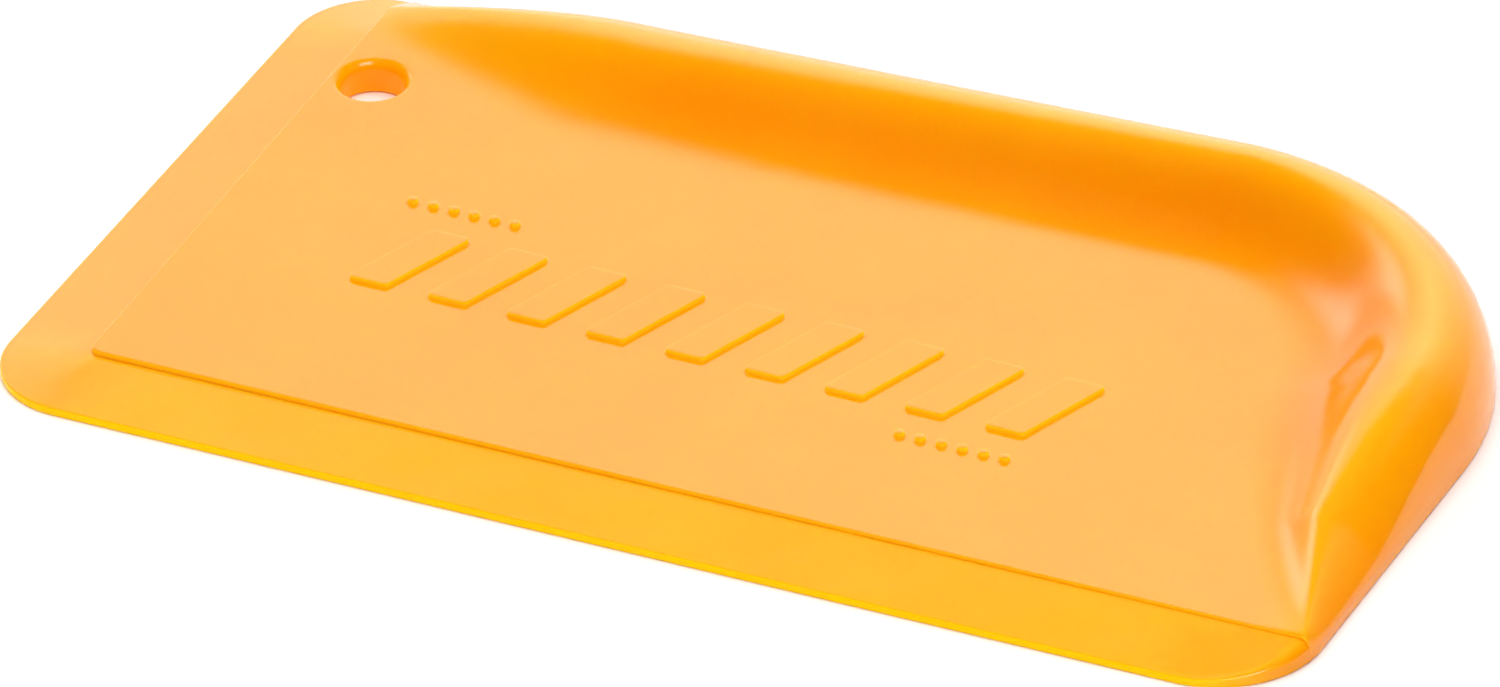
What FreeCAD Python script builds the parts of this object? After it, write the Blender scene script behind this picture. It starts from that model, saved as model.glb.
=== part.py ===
import FreeCAD, Part
import math
import os
import Sketcher
from FreeCAD import Placement, Rotation, Vector

# One-piece moulded scraper: a wedge-shaped panel, a thin scraping lip along its left and front
# sides, and an L-shaped hollow grip ridge along its back and right sides.
# Frame while it is built: underside at z = 0, front lip along y = 0, left lip along x = 0.
# The body's placement then puts the origin at the centre of the base.

DIMENSIONS = {
    "length": 150.0,
    "width": 87.5,
    "lip_edge": 0.9,
    "lip_root": 2.2,
    "lip_slope": 8.8,
    "short_lip": 9.7,
    "long_lip": 9.2,
    "front_left_radius": 10.2,
    "front_right_radius": 11.5,
    "back_left_radius": 9.4,
    "grip_corner_radius": 39.5,
    "panel_corner_radius": 1.2,
    "panel_front": 2.8,
    "panel_back": 4.2,
    "side_lip": 12.0,
    "height_left": 4.0,
    "height_back": 8.05,
    "height_corner": 10.7,
    "height_right": 10.3,
    "height_front": 3.0,
    "crest_inset": 6.5,
    "crest_inset_front": 0.8,
    "foot_edge": 1.0,
    "foot_edge_front": 1.2,
    "grip_width_left": 14.0,
    "grip_width_back": 23.0,
    "grip_width_corner": 20.5,
    "grip_width_right": 24.0,
    "grip_width_front": 6.0,
    "wall": 2.7,
    "hole_across": 14.5,
    "hole_along": 67.4,
    "hole_radius": 3.6,
    "hole_rounding": 0.8,
    "hole_lower_rounding": 0.4,
    "relief_height": 0.5,
    "bar_across": 29.0,
    "bar_along": 31.5,
    "bar_width": 4.6,
    "bar_rise": 11.5,
    "bar_slant": 4.5,
    "bar_pitch": 9.2,
    "bead_radius": 0.55,
    "bead_pitch": 2.4,
}

LEFT_RUN_UP = 30.0    # the grip rises to its full height over this length at its left end
FRONT_RUN_UP = 44.0   # and falls over this length towards its front end
CREST_RUN_OUT = 17.0  # the crest runs out to the outline over this length at its front end
FULL_WIDTH_RUN = 0.5  # share of the back run before the grip starts to narrow
FULLNESS_LEFT = 0.12  # how square the grip's outer shoulder is: 0 is a bevel, 0.55 a quarter round
FULLNESS = 0.55
FULLNESS_FRONT = 0.2
CREST_FLATNESS = 0.36  # share of the inner slope taken up by its roll-off from the crest
CREST_FLATNESS_FRONT = 0.15
FOOT_FLATNESS = 0.6    # and by its run-out on the panel
FOOT_FLATNESS_FRONT = 0.7
DIP = 0.15            # the grip's inner end runs this far under the panel, so that the two cross
PAST = 2.0            # a cutting profile runs this far past the solid
INSIDE = 5.0          # the panel block stops this far short of the grip's outer face
UNDER = 12.0          # the lip plate runs this far in under the panel block
BLOCK_TOP = 6.0       # height of the panel block before its top is cut to the panel's slope
BACK_STATIONS = 10
CORNER_STATIONS = 6
RIGHT_STATIONS = 6
CLOSED_BACK = 1       # the hollow starts this many stations in from the grip's left end
CLOSED_FRONT = 2      # and stops this many short of its front end
HOLLOW_LOW = -3.0     # the hollow's inner side is drawn on down to this height, below the base
HOLLOW_CREST = 0.2    # the hollow's crown lies this much further in than the crest
HOLLOW_SHOULDER = 0.35  # share of the grip's height at which the hollow's outer side starts to lean
BARS = 9
BEADS = 6

doc = FreeCAD.newDocument("scraper")
sheet = doc.addObject("Spreadsheet::Sheet", "Dimensions")
for row, (alias, number) in enumerate(DIMENSIONS.items(), start=1):
    sheet.set(f"A{row}", alias)
    sheet.set(f"B{row}", str(number))
    sheet.setAlias(f"B{row}", alias)
doc.recompute()


class Size:
    """A number that carries the sheet expression it comes from."""

    def __init__(self, value, text):
        self.value = value
        self.text = text

    def __add__(self, other):
        return Size(self.value + other.value, f"({self.text} + {other.text})")

    def __sub__(self, other):
        return Size(self.value - other.value, f"({self.text} - {other.text})")

    def times(self, factor):
        return Size(self.value * factor, f"({self.text} * {factor:.9f})")


def plain(number):
    return Size(number, f"{number:.9f}")


def dim(alias):
    """A driving dimension, read from the sheet."""
    return Size(float(sheet.get(alias)), f"Dimensions.{alias}")


def mix(first, second, share):
    return first + (second - first).times(share)


def smooth(fraction):
    """Smooth step from 0 to 1."""
    t = min(max(fraction, 0.0), 1.0)
    return t * t * (3.0 - 2.0 * t)


def ease_out(fraction):
    """From 0 to 1, quick at first and then level."""
    t = min(max(fraction, 0.0), 1.0)
    return 1.0 - (1.0 - t) ** 2


def level_off(fraction):
    """From 0 to 1, evenly at first and then level."""
    t = min(max(fraction, 0.0), 1.0)
    return t * (1.0 + t - t * t)


def between(first, second, share):
    return first + (second - first) * share


body = doc.addObject("PartDesign::Body", "Scraper")
body.Label = "scraper_moulding"
doc.recompute()
planes = {feature.Role: feature for feature in body.Origin.OriginFeatures}


# --- helpers for sketches and features

def new_sketch(name, plane="XY_Plane"):
    sketch = body.newObject("Sketcher::SketchObject", name)
    sketch.AttachmentSupport = [(planes[plane], "")]
    sketch.MapMode = "FlatFace"
    return sketch


def line(a, b):
    return Part.LineSegment(Vector(a[0], a[1], 0), Vector(b[0], b[1], 0))


def curve(*poles):
    """A cubic stretch, given by its four poles."""
    bezier = Part.BezierCurve()
    bezier.setPoles([Vector(x, y, 0) for x, y in poles])
    return bezier.toBSpline()


def quarter(centre, radius, start):
    """A quarter circle, counter-clockwise from an angle in radians."""
    circle = Part.Circle(Vector(centre[0], centre[1], 0), Vector(0, 0, 1), radius)
    return Part.ArcOfCircle(circle, start, start + math.pi / 2)


def tie(sketch, kind, places, wanted):
    """Add a dimension to a sketch and bind it to the sheet."""
    index = sketch.addConstraint(Sketcher.Constraint(kind, *places, wanted.value))
    sketch.setExpression(f"Constraints[{index}]", wanted.text)


def chain(sketch, pieces):
    """Add pieces that run end to start round a closed loop, and join them."""
    ids = [sketch.addGeometry(piece, False) for piece in pieces]
    for here, after in zip(ids, ids[1:] + ids[:1]):
        sketch.addConstraint(Sketcher.Constraint("Coincident", here, 2, after, 1))
    return ids


def square_outline(sketch, sides):
    """Draw a loop of level and upright sides, counter-clockwise.

    Each side is (axis, position, radius): the axis that it is measured on, where it lies there, and
    the rounding of the corner at its end, or None where that corner is sharp.
    """
    def corner(i):
        here, after = sides[i], sides[(i + 1) % len(sides)]
        place = {here[0]: here[1].value, after[0]: after[1].value}
        return Vector(place["x"], place["y"], 0)

    pieces = []
    for i, (axis, position, radius) in enumerate(sides):
        before = sides[i - 1][2]
        way = (corner(i) - corner(i - 1)).normalize()
        start = corner(i - 1) + way * (before.value if before else 0.0)
        end = corner(i) - way * (radius.value if radius else 0.0)
        pieces.append((Part.LineSegment(start, end), axis, position))
        if radius:
            centre = end + Vector(-way.y, way.x, 0) * radius.value
            spoke = end - centre
            pieces.append((quarter(centre, radius.value, math.atan2(spoke.y, spoke.x)), None, radius))
    ids = [sketch.addGeometry(piece, False) for piece, _, _ in pieces]
    for i, (_, axis, wanted) in enumerate(pieces):
        following = (i + 1) % len(pieces)
        joint = "Coincident" if axis and pieces[following][1] else "Tangent"
        sketch.addConstraint(Sketcher.Constraint(joint, ids[i], 2, ids[following], 1))
        if axis is None:
            tie(sketch, "Radius", (ids[i],), wanted)
            continue
        sketch.addConstraint(Sketcher.Constraint("Vertical" if axis == "x" else "Horizontal", ids[i]))
        if wanted.value:
            tie(sketch, "DistanceX" if axis == "x" else "DistanceY", (-1, 1, ids[i], 1), wanted)
        else:
            sketch.addConstraint(Sketcher.Constraint("PointOnObject", ids[i], 1, -2 if axis == "x" else -1))


def pad(name, sketch, length):
    feature = body.newObject("PartDesign::Pad", name)
    feature.Profile = sketch
    feature.Length = length.value
    feature.setExpression("Length", length.text)
    return feature


def pocket_through(name, sketch):
    """Cut a profile right through the body, both ways from its plane."""
    feature = body.newObject("PartDesign::Pocket", name)
    feature.Profile = sketch
    feature.Type = "ThroughAll"
    feature.SideType = "Symmetric"
    return feature


def volume():
    doc.recompute()
    return body.Tip.Shape.Volume


# --- lip plate: an L of the lip's root thickness, with its outer top edges bevelled down to the edge
def add_lip():
    under = plain(UNDER)
    sketch = new_sketch("LipOutline")
    square_outline(sketch, [
        ("y", plain(0.0), dim("front_right_radius")),
        ("x", dim("length"), None),
        ("y", dim("side_lip"), None),
        ("x", dim("length") - under, None),
        ("y", dim("long_lip") + under, None),
        ("x", dim("short_lip") + under, None),
        ("y", dim("width") - under, None),
        ("x", dim("short_lip"), None),
        ("y", dim("width"), dim("back_left_radius")),
        ("x", plain(0.0), dim("front_left_radius")),
    ])
    plate = pad("LipPlate", sketch, dim("lip_root"))
    doc.recompute()
    bevel = body.newObject("PartDesign::Chamfer", "LipBevel")
    bevel.Base = (plate, outer_top_edges(plate.Shape, dim("lip_root").value))
    bevel.ChamferType = "Two distances"
    for name, drop in (("Size", dim("lip_root") - dim("lip_edge")), ("Size2", dim("lip_slope"))):
        setattr(bevel, name, drop.value)
        bevel.setExpression(name, drop.text)


def outer_top_edges(shape, height):
    """Names of the top edges that lie on the scraper's own outline."""
    names = []
    for i, edge in enumerate(shape.Edges, start=1):
        middle = edge.valueAt((edge.FirstParameter + edge.LastParameter) / 2)
        level = abs(middle.z - height) < 1e-6 and abs(edge.BoundBox.ZLength) < 1e-6
        lip = middle.x < dim("short_lip").value - 1e-6 or middle.y < dim("long_lip").value - 1e-6
        arc = isinstance(edge.Curve, Part.Circle)
        side = abs(middle.x - dim("length").value) < 1e-6 or abs(middle.y - dim("width").value) < 1e-6
        if level and (lip or arc or side):
            names.append(f"Edge{i}")
    return names


# --- panel: a block whose top is cut to a gentle slope, thicker towards the back
def add_panel():
    inside = plain(INSIDE)
    sketch = new_sketch("PanelOutline")
    square_outline(sketch, [
        ("y", dim("long_lip"), dim("panel_corner_radius")),
        ("x", dim("length") - inside, dim("grip_corner_radius") - inside),
        ("y", dim("width") - inside, None),
        ("x", dim("short_lip"), dim("panel_corner_radius")),
    ])
    pad("PanelBlock", sketch, plain(BLOCK_TOP))

    front, back = dim("long_lip"), dim("width")
    low, high = dim("panel_front"), dim("panel_back")
    top = BLOCK_TOP + PAST
    profile = new_sketch("PanelSlopeProfile", "YZ_Plane")
    corners = [
        (front.value - PAST, low.value),
        (front.value, low.value),
        (back.value, high.value),
        (back.value + PAST, high.value),
        (back.value + PAST, top),
        (front.value - PAST, top),
    ]
    ids = chain(profile, [line(a, b) for a, b in zip(corners, corners[1:] + corners[:1])])
    for i in (0, 2, 4):
        profile.addConstraint(Sketcher.Constraint("Horizontal", ids[i]))
    for i in (3, 5):
        profile.addConstraint(Sketcher.Constraint("Vertical", ids[i]))
    origin = (-1, 1)
    tie(profile, "DistanceX", (*origin, ids[1], 1), front)
    tie(profile, "DistanceY", (*origin, ids[1], 1), low)
    tie(profile, "DistanceX", (*origin, ids[1], 2), back)
    tie(profile, "DistanceY", (*origin, ids[1], 2), high)
    tie(profile, "DistanceX", (*origin, ids[0], 1), front - plain(PAST))
    tie(profile, "DistanceX", (*origin, ids[3], 1), back + plain(PAST))
    tie(profile, "DistanceY", (*origin, ids[4], 1), plain(top))
    before = volume()
    pocket_through("PanelSlope", profile)
    assert volume() < before, "the panel's slope cut nothing"


def panel_top(along):
    """Height of the panel's top face at a distance from the front edge."""
    rise = dim("panel_back").value - dim("panel_front").value
    slope = rise / (dim("width").value - dim("long_lip").value)
    return dim("panel_front") + (along - dim("long_lip")).times(slope)


# --- grip: sections stand on the outline, which runs along the back, round the corner and forward
class Station:
    """A place on the grip's outline and the sizes of the grip's section there."""

    def __init__(self, run, share):
        radius = dim("grip_corner_radius")
        back_length = dim("length") - radius - dim("short_lip")
        right_length = dim("width") - radius - dim("long_lip")
        corner_length = radius.value * math.pi / 2
        turn = {"back": 0.0, "corner": share, "right": 1.0}[run] * math.pi / 2
        self.inward = Vector(-math.sin(turn), -math.cos(turn), 0)
        cosine = math.cos(turn)
        if run == "back":
            self.across = dim("short_lip") + back_length.times(share)
            self.along = dim("width")
        else:
            self.across = dim("length") - radius.times(1.0 - math.sin(turn))
            self.along = dim("width") - radius.times(1.0 - cosine)
        if run == "right":
            self.along = dim("width") - radius - right_length.times(share)
        travelled = {
            "back": back_length.value * share,
            "corner": back_length.value + corner_length * share,
            "right": back_length.value + corner_length + right_length.value * share,
        }[run]
        left_to_go = back_length.value + corner_length + right_length.value - travelled
        start = smooth(travelled / LEFT_RUN_UP)
        finish = level_off(left_to_go / FRONT_RUN_UP)
        run_in = min(left_to_go / CREST_RUN_OUT, 1.0)

        rise = min(max((travelled - LEFT_RUN_UP) / (back_length.value - LEFT_RUN_UP), 0.0), 1.0)
        narrowing = min(max((share - FULL_WIDTH_RUN) / (1.0 - FULL_WIDTH_RUN), 0.0), 1.0)
        bend = {"back": 0.0, "corner": share, "right": 1.0}[run]
        height = mix(mix(dim("height_back"), dim("height_corner"), rise), dim("height_right"), bend)
        width = mix(dim("grip_width_back"), dim("grip_width_corner"), narrowing if run == "back" else 1.0)
        width = mix(width, dim("grip_width_right"), bend)
        height = mix(dim("height_left"), height, ease_out(travelled / LEFT_RUN_UP))
        width = mix(dim("grip_width_left"), width, start)
        self.height = mix(dim("height_front"), height, finish)
        self.width = mix(dim("grip_width_front"), width, finish)
        self.crest = mix(dim("crest_inset_front"), dim("crest_inset"), run_in)
        self.edge = mix(dim("foot_edge_front"), dim("foot_edge"), finish)
        self.fullness = between(FULLNESS_FRONT, between(FULLNESS_LEFT, FULLNESS, start), finish)
        self.crest_flatness = between(CREST_FLATNESS_FRONT, CREST_FLATNESS, finish)
        self.foot_flatness = between(FOOT_FLATNESS_FRONT, FOOT_FLATNESS, finish)
        self.panel = panel_top(self.along - self.width.times(cosine)) - plain(DIP)


def run_stations(run):
    """Stations along one run of the grip, both ends included."""
    count = {"back": BACK_STATIONS, "corner": CORNER_STATIONS, "right": RIGHT_STATIONS}[run]
    return [Station(run, i / count) for i in range(count + 1)]


def section_sketch(name, station):
    """A sketch in the upright plane across the grip: x runs inward from the outline, y runs up."""
    sketch = new_sketch(name)
    up = Vector(0, 0, 1)
    turn = Rotation(station.inward, up, station.inward.cross(up), "ZXY")
    sketch.AttachmentOffset = Placement(Vector(station.across.value, station.along.value, 0), turn)
    sketch.setExpression("AttachmentOffset.Base.x", station.across.text)
    sketch.setExpression("AttachmentOffset.Base.y", station.along.text)
    return sketch


def draw_section(sketch, station, outside, edge, crest, height, inner, low, bottom):
    """Draw one section: up the outer wall, over the shoulder to the crest, down to the panel."""
    swell_x = (crest.value - outside.value) * station.fullness
    swell_y = (height.value - edge.value) * station.fullness
    fall = inner.value - crest.value
    run_out = station.foot_flatness * fall
    roll_off = station.crest_flatness * fall
    foot = (outside.value, bottom.value)
    shoulder = (outside.value, edge.value)
    peak = (crest.value, height.value)
    trough = (inner.value, low.value)
    pieces = [
        line(foot, (inner.value, bottom.value)),
        line((inner.value, bottom.value), trough),
        curve(trough, (trough[0] - run_out, trough[1]), (peak[0] + roll_off, peak[1]), peak),
        curve(peak, (peak[0] - swell_x, peak[1]), (shoulder[0], shoulder[1] + swell_y), shoulder),
        line(shoulder, foot),
    ]
    ids = chain(sketch, pieces)
    sketch.addConstraint(Sketcher.Constraint("Horizontal", ids[0]))
    for upright in (ids[1], ids[4]):
        sketch.addConstraint(Sketcher.Constraint("Vertical", upright))
    origin = (-1, 1)
    if outside.value:
        tie(sketch, "DistanceX", (*origin, ids[0], 1), outside)
    else:
        sketch.addConstraint(Sketcher.Constraint("PointOnObject", ids[0], 1, -2))
    if bottom.value:
        tie(sketch, "DistanceY", (ids[0], 1, *origin), plain(-bottom.value))
    else:
        sketch.addConstraint(Sketcher.Constraint("PointOnObject", ids[0], 1, -1))
    tie(sketch, "DistanceY", (*origin, ids[4], 1), edge)
    tie(sketch, "DistanceX", (*origin, ids[3], 1), crest)
    tie(sketch, "DistanceY", (*origin, ids[3], 1), height)
    tie(sketch, "DistanceX", (*origin, ids[0], 2), inner)
    tie(sketch, "DistanceY", (*origin, ids[2], 1), low)


def loft(kind, name, sketches):
    feature = body.newObject(f"PartDesign::{kind}", name)
    feature.Profile = sketches[0]
    feature.Sections = sketches[1:]
    return feature


def add_grip():
    for run in ("back", "corner", "right"):
        sketches = []
        for i, station in enumerate(run_stations(run)):
            sketch = section_sketch(f"Grip_{run}_{i}", station)
            draw_section(sketch, station, plain(0.0), station.edge, station.crest,
                         station.height, station.width, station.panel, plain(0.0))
            sketches.append(sketch)
        before = volume()
        loft("AdditiveLoft", f"Grip_{run}", sketches)
        assert volume() > before, "the grip added nothing"


def add_hollow():
    """Core the grip out from below, leaving an even wall and closed ends."""
    wall, below = dim("wall"), plain(HOLLOW_LOW - PAST)
    for run in ("back", "corner", "right"):
        places = run_stations(run)
        if run == "back":
            places = places[CLOSED_BACK:]
        if run == "right":
            places = places[:-CLOSED_FRONT]
        sketches = []
        for i, station in enumerate(places):
            sketch = section_sketch(f"Hollow_{run}_{i}", station)
            low = plain(HOLLOW_LOW)
            shoulder = mix(station.edge, station.height, HOLLOW_SHOULDER) - wall
            draw_section(sketch, station, wall, shoulder, station.crest + plain(HOLLOW_CREST),
                         station.height - wall, station.width - wall, low, below)
            sketches.append(sketch)
        before = volume()
        loft("SubtractiveLoft", f"Hollow_{run}", sketches)
        assert volume() < before, "the hollow cut nothing"


# --- hanging hole through the panel's back left corner, its rim rounded
def add_hole():
    sketch = new_sketch("HoleProfile")
    circle = Part.Circle(Vector(dim("hole_across").value, dim("hole_along").value, 0), Vector(0, 0, 1),
                         dim("hole_radius").value)
    index = sketch.addGeometry(circle, False)
    tie(sketch, "Radius", (index,), dim("hole_radius"))
    tie(sketch, "DistanceX", (-1, 1, index, 3), dim("hole_across"))
    tie(sketch, "DistanceY", (-1, 1, index, 3), dim("hole_along"))
    before = volume()
    pocket_through("Hole", sketch)
    assert volume() < before, "the hole cut nothing"
    rims = (("HoleRim", "hole_rounding", True), ("HoleLowerRim", "hole_lower_rounding", False))
    for name, alias, upper in rims:
        edges = hole_edges(upper)
        base = body.Tip
        rim = body.newObject("PartDesign::Fillet", name)
        rim.Base = (base, edges)
        rim.Radius = dim(alias).value
        rim.setExpression("Radius", dim(alias).text)
        doc.recompute()


def hole_edges(upper):
    """Names of the hole's edges at its upper or its lower rim."""
    centre = Vector(dim("hole_across").value, dim("hole_along").value, 0)
    names = []
    for i, edge in enumerate(body.Tip.Shape.Edges, start=1):
        points = edge.discretize(5)
        round_the_hole = all(
            abs(math.hypot(p.x - centre.x, p.y - centre.y) - dim("hole_radius").value) < 0.01
            for p in points
        )
        high = min(p.z for p in points) > 0.5
        low = max(p.z for p in points) < 0.5
        if round_the_hole and (high if upper else low):
            names.append(f"Edge{i}")
    return names


# --- raised relief on the panel: a row of slanted bars, with a short row of beads at two corners
def tilted_sketch(name):
    """A sketch lying in the panel's sloped top face."""
    slope = math.atan2(
        dim("panel_back").value - dim("panel_front").value,
        dim("width").value - dim("long_lip").value,
    )
    sketch = new_sketch(name)
    tilt = Rotation(Vector(1, 0, 0), math.degrees(slope))
    height = panel_top(plain(0.0))
    sketch.AttachmentOffset = Placement(Vector(0, 0, height.value), tilt)
    sketch.setExpression("AttachmentOffset.Base.z", height.text)
    return sketch


def raise_relief(name, sketch, pitch, count):
    """Pad a profile up from the panel and repeat it along the panel's front edge."""
    feature = pad(name, sketch, dim("relief_height").times(2.0))
    feature.SideType = "Symmetric"
    doc.recompute()
    row = body.newObject("PartDesign::LinearPattern", f"{name}Row")
    row.Originals = [feature]
    row.Direction = (sketch, ["H_Axis"])
    row.Occurrences = count
    row.Length = pitch.value * (count - 1)
    row.setExpression("Length", pitch.times(count - 1).text)
    body.Tip = row


def add_bars():
    across, along = dim("bar_across"), dim("bar_along")
    width, rise, slant = dim("bar_width"), dim("bar_rise"), dim("bar_slant")
    sketch = tilted_sketch("BarProfile")
    corners = [
        (across, along),
        (across + width, along),
        (across + width + slant, along + rise),
        (across + slant, along + rise),
    ]
    points = [(a.value, b.value) for a, b in corners]
    ids = chain(sketch, [line(a, b) for a, b in zip(points, points[1:] + points[:1])])
    for i in (0, 2):
        sketch.addConstraint(Sketcher.Constraint("Horizontal", ids[i]))
    tie(sketch, "DistanceX", (-1, 1, ids[0], 1), across)
    tie(sketch, "DistanceY", (-1, 1, ids[0], 1), along)
    tie(sketch, "DistanceX", (ids[0], 1, ids[0], 2), width)
    tie(sketch, "DistanceX", (ids[0], 2, ids[1], 2), slant)
    tie(sketch, "DistanceX", (ids[0], 1, ids[3], 1), slant)
    tie(sketch, "DistanceY", (ids[0], 2, ids[1], 2), rise)
    before = volume()
    raise_relief("Bar", sketch, dim("bar_pitch"), BARS)
    assert volume() > before, "the bars added nothing"


def add_beads(name, across, along):
    sketch = tilted_sketch(f"{name}Profile")
    circle = Part.Circle(Vector(across.value, along.value, 0), Vector(0, 0, 1), dim("bead_radius").value)
    index = sketch.addGeometry(circle, False)
    tie(sketch, "Radius", (index,), dim("bead_radius"))
    tie(sketch, "DistanceX", (-1, 1, index, 3), across)
    tie(sketch, "DistanceY", (-1, 1, index, 3), along)
    before = volume()
    raise_relief(name, sketch, dim("bead_pitch"), BEADS)
    assert volume() > before, "the beads added nothing"


add_lip()
add_panel()
add_grip()
add_hollow()
add_hole()
add_bars()
above_bars = dim("bar_along") + dim("bar_rise") + dim("bar_slant")
below_bars = dim("bar_along") - dim("bar_slant")
bar_row_end = dim("bar_across") + dim("bar_pitch").times(BARS - 1) + dim("bar_width")
bead_row_start = bar_row_end - dim("bead_pitch").times(BEADS - 1)
add_beads("UpperBeads", dim("bar_across"), above_bars)
add_beads("LowerBeads", bead_row_start, below_bars)

body.Placement = Placement(Vector(-dim("length").value / 2, -dim("width").value / 2, 0), Rotation())
body.setExpression("Placement.Base.x", "-Dimensions.length / 2")
body.setExpression("Placement.Base.y", "-Dimensions.width / 2")
doc.recompute()

for item in doc.Objects:
    assert "Invalid" not in item.State and "Error" not in item.State, f"{item.Name}: {item.State}"
shape = body.Shape
assert not shape.isNull() and shape.isValid(), "the moulding is not a valid solid"
assert len(shape.Solids) == 1, "the moulding is not one solid"
os.makedirs("parts", exist_ok=True)
shape.exportStep(f"parts/{body.Label}.step")
print(body.Label, round(shape.Volume, 1), shape.optimalBoundingBox(False, False))
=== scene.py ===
"""Looks of a one-piece moulded scraper in translucent orange plastic: a wedge-shaped panel with a
thin lip on its left and front sides, a hollow grip ridge on its back and right sides, a hanging
hole and a low relief.

The moulding is one closed mesh. It is drawn in millimetres from the front left corner of the base
and then moved to where the CAD part stands. Blender's own units here are metres.
"""
import math

import bmesh
import bpy
import numpy as np
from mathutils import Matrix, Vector
from mathutils.geometry import delaunay_2d_cdt


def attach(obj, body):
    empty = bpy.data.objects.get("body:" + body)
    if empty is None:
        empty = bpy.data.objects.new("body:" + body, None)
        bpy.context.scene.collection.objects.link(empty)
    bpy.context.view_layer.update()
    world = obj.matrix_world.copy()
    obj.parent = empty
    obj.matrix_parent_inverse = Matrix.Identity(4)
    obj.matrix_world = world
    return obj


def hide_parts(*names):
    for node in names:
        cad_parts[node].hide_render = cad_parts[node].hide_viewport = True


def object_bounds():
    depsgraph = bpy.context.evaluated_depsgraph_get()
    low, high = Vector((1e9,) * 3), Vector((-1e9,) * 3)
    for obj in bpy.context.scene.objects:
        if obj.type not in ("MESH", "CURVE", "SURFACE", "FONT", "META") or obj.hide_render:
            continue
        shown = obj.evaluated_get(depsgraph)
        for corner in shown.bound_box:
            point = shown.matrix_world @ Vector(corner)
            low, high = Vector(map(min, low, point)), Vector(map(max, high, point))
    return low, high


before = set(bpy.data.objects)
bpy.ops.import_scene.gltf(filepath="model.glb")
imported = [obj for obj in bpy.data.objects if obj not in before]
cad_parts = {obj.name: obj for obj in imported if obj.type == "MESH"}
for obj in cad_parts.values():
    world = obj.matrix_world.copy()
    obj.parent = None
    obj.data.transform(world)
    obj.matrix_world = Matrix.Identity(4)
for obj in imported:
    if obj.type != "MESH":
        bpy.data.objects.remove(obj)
low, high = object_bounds()
MM = 0.001
LENGTH = (high.x - low.x) / MM
WIDTH = (high.y - low.y) / MM

# --- sizes in millimetres
SHORT_LIP = 9.7             # width of the lip on the left
LONG_LIP = 9.2              # and on the front
LIP_EDGE = 0.9              # the lip's thickness at its edge
LIP_ROOT = (2.15, 2.45)     # and at its root, at the left and at the right
EDGE_ROUNDING = 0.2
SIDE_ROUNDING = 1.3         # the lip's rounding grows to this where it meets the grip's front end
SIDE_EDGE = 1.05            # and its upright edge to this
ARRIS = 0.3                 # rounding on top of the step between lip and panel
FRONT_ARRIS = 0.18          # the same along the front, where the step is lower
FRONT_LEFT_RADIUS = 10.2
FRONT_RIGHT_RADIUS = 11.5
BACK_LEFT_RADIUS = 9.4
GRIP_RADIUS = 39.5
PANEL_CORNER_RADIUS = 1.2
PANEL_FRONT = 2.8           # panel thickness at the front step
PANEL_BACK = 4.2            # and at the back edge
HEIGHT_LEFT = 4.0
HEIGHT_BACK = 8.05
HEIGHT_CORNER = 10.7
HEIGHT_RIGHT = 10.3
HEIGHT_FRONT = 3.0
CREST_INSET = (6.5, 0.8)    # from the outline, along most of the grip and at its front end
FOOT_EDGE = (0.92, 1.0, 1.2)    # top of the grip's upright foot: left end, middle, front end
GRIP_WIDTH = (14.0, 23.0, 20.5, 24.0, 6.0)    # left end, back, corner's start, its end, front end
CREST_FLATNESS = (0.36, 0.15)   # share of the inner slope taken up by its roll-off from the crest
FOOT_FLATNESS = (0.6, 0.7)      # and by its run-out on the panel: most of the grip, and its front end
LEFT_RUN_UP = 30.0
FRONT_RUN_UP = 44.0
CREST_RUN_OUT = 17.0        # over which the crest runs out to the outline at the front end
FULL_WIDTH_RUN = 0.5
FULLNESS = (0.12, 0.55, 0.2)    # of the outer shoulder: left end, middle, front end
WALL = 2.7                  # of the grip, above its hollow
HOLLOW_LOW = -3.0
HOLLOW_CREST = 0.2
HOLLOW_SHOULDER = 0.35
HOLLOW_ENDS = (10.08, 12.9)  # the hollow stops this far short of the grip's left and front ends
HOLE = (14.5, 67.4)
HOLE_RADIUS = 3.6
HOLE_ROUNDING = (0.8, 1.0)  # across and down, at the upper rim
HOLE_LOWER_ROUNDING = 0.4
RELIEF_HEIGHT = 0.5
BAR_CORNER_RADIUS = 0.5
BAR = (29.0, 31.5)          # front left corner of the first bar
BAR_WIDTH = 4.6
BAR_RISE = 11.5
BAR_SLANT = 4.5
BAR_PITCH = 9.2
BARS = 9
BEAD_RADIUS = 0.55
BEAD_PITCH = 2.4
BEADS = 6
ARRIS_CUT = 0.29            # of its radius, halfway round the lower arris
STEP_CUT = 0.45             # the most of a step's height that its rounding takes

# --- fineness of the mesh
GRIP_STEP = 0.8             # mm along the grip
OUTER_POINTS = 16           # round the grip's outer shoulder
INNER_POINTS = 26           # down to the panel
HOLLOW_POINTS = 30
ARC_STEP = math.radians(3)
LINE_STEP = 2.5             # mm along a straight lip
HOLLOW_DETAIL = (80, 120)   # points in a hollow's shoulder and slope, before they are spaced evenly
BAR_CORNER_POINTS = 6
BEAD_SIDES = 16
HOLE_SIDES = 72
SEED_DEPTHS = (1.0, 2.0, 4.0, 6.0)  # mm inward from the lip's edge
SEED_MARGIN = 0.5           # mm they keep from the step
MERGE = 0.02                # mm, vertices nearer than this become one

BACK_RUN = LENGTH - GRIP_RADIUS - SHORT_LIP
CORNER_RUN = GRIP_RADIUS * math.pi / 2
RIGHT_RUN = WIDTH - GRIP_RADIUS - LONG_LIP
GRIP_RUN = BACK_RUN + CORNER_RUN + RIGHT_RUN


def smooth(fraction):
    t = min(max(fraction, 0.0), 1.0)
    return t * t * (3.0 - 2.0 * t)


def ease_out(fraction):
    t = min(max(fraction, 0.0), 1.0)
    return 1.0 - (1.0 - t) ** 2


def level_off(fraction):
    """Rises evenly at first and ends level."""
    t = min(max(fraction, 0.0), 1.0)
    return t * (1.0 + t - t * t)


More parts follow.
